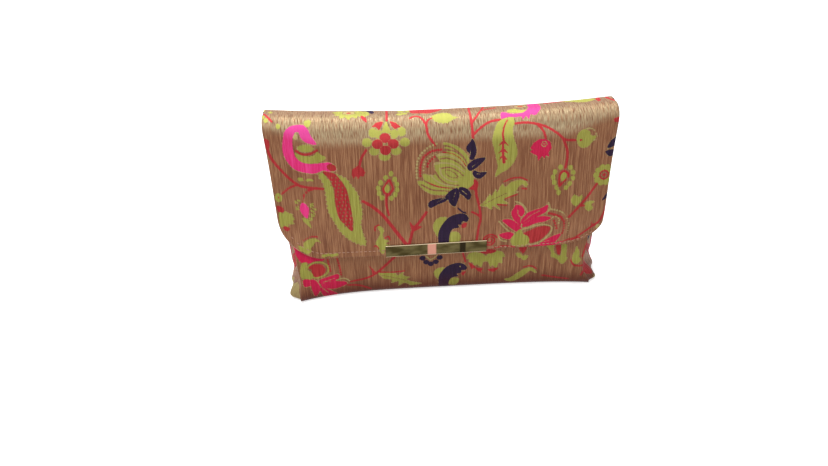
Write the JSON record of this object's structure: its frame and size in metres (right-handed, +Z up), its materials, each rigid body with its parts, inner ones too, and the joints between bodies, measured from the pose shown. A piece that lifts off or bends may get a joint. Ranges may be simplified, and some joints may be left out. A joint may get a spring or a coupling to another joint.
{
  "type": "flap clutch bag",
  "caption": "Brocade clutch bag stiffened with card, with folded side gussets, a padded top strip, a magnetic flap and a polished bar on the flap's edge.",
  "frame": {"origin": "on the floor under the middle of the flat base", "axes": "+X to the bag's right as seen from the front, -Y out of the flap, +Z up"},
  "size_m": [0.2624, 0.0455, 0.152],
  "materials": {
    "brocade": "metallic thread weave, satin",
    "lining": "satin",
    "wadding": "matte felt",
    "card": "matte",
    "bar_metal": "polished",
    "snap_metal": "satin",
    "magnet": "matte"
  },
  "bodies": {
    "body": {"body_cloth": "brocade", "left_gusset": "brocade", "right_gusset": "brocade", "front_board": "card", "back_board": "card", "base_board": "card", "body_lining": "lining", "left_gusset_lining": "lining", "right_gusset_lining": "lining", "snap_socket_plate": "snap_metal", "snap_socket_case": "snap_metal", "snap_magnet": "magnet", "snap_socket_washer": "snap_metal"},
    "top_strip": {"spine_cloth": "brocade", "spine_wadding": "wadding", "spine_lining": "lining"},
    "flap": {"flap_cloth": "brocade", "flap_board": "card", "flap_lining": "lining", "trim_bar": "bar_metal", "left_bar_screw": "bar_metal", "right_bar_screw": "bar_metal", "snap_stud": "snap_metal", "snap_stud_washer": "snap_metal"}
  },
  "joints": [
    {"name": "back_fold", "type": "hinge", "parent": "body", "child": "top_strip", "pos_m": [0, 0.01016, 0.14966], "axis": [-1, 0, 0], "range_deg": [0, 120]},
    {"name": "front_fold", "type": "hinge", "parent": "top_strip", "child": "flap", "pos_m": [0, -0.01358, 0.14849], "axis": [-1, 0, 0], "range_deg": [0, 90]}
  ]
}
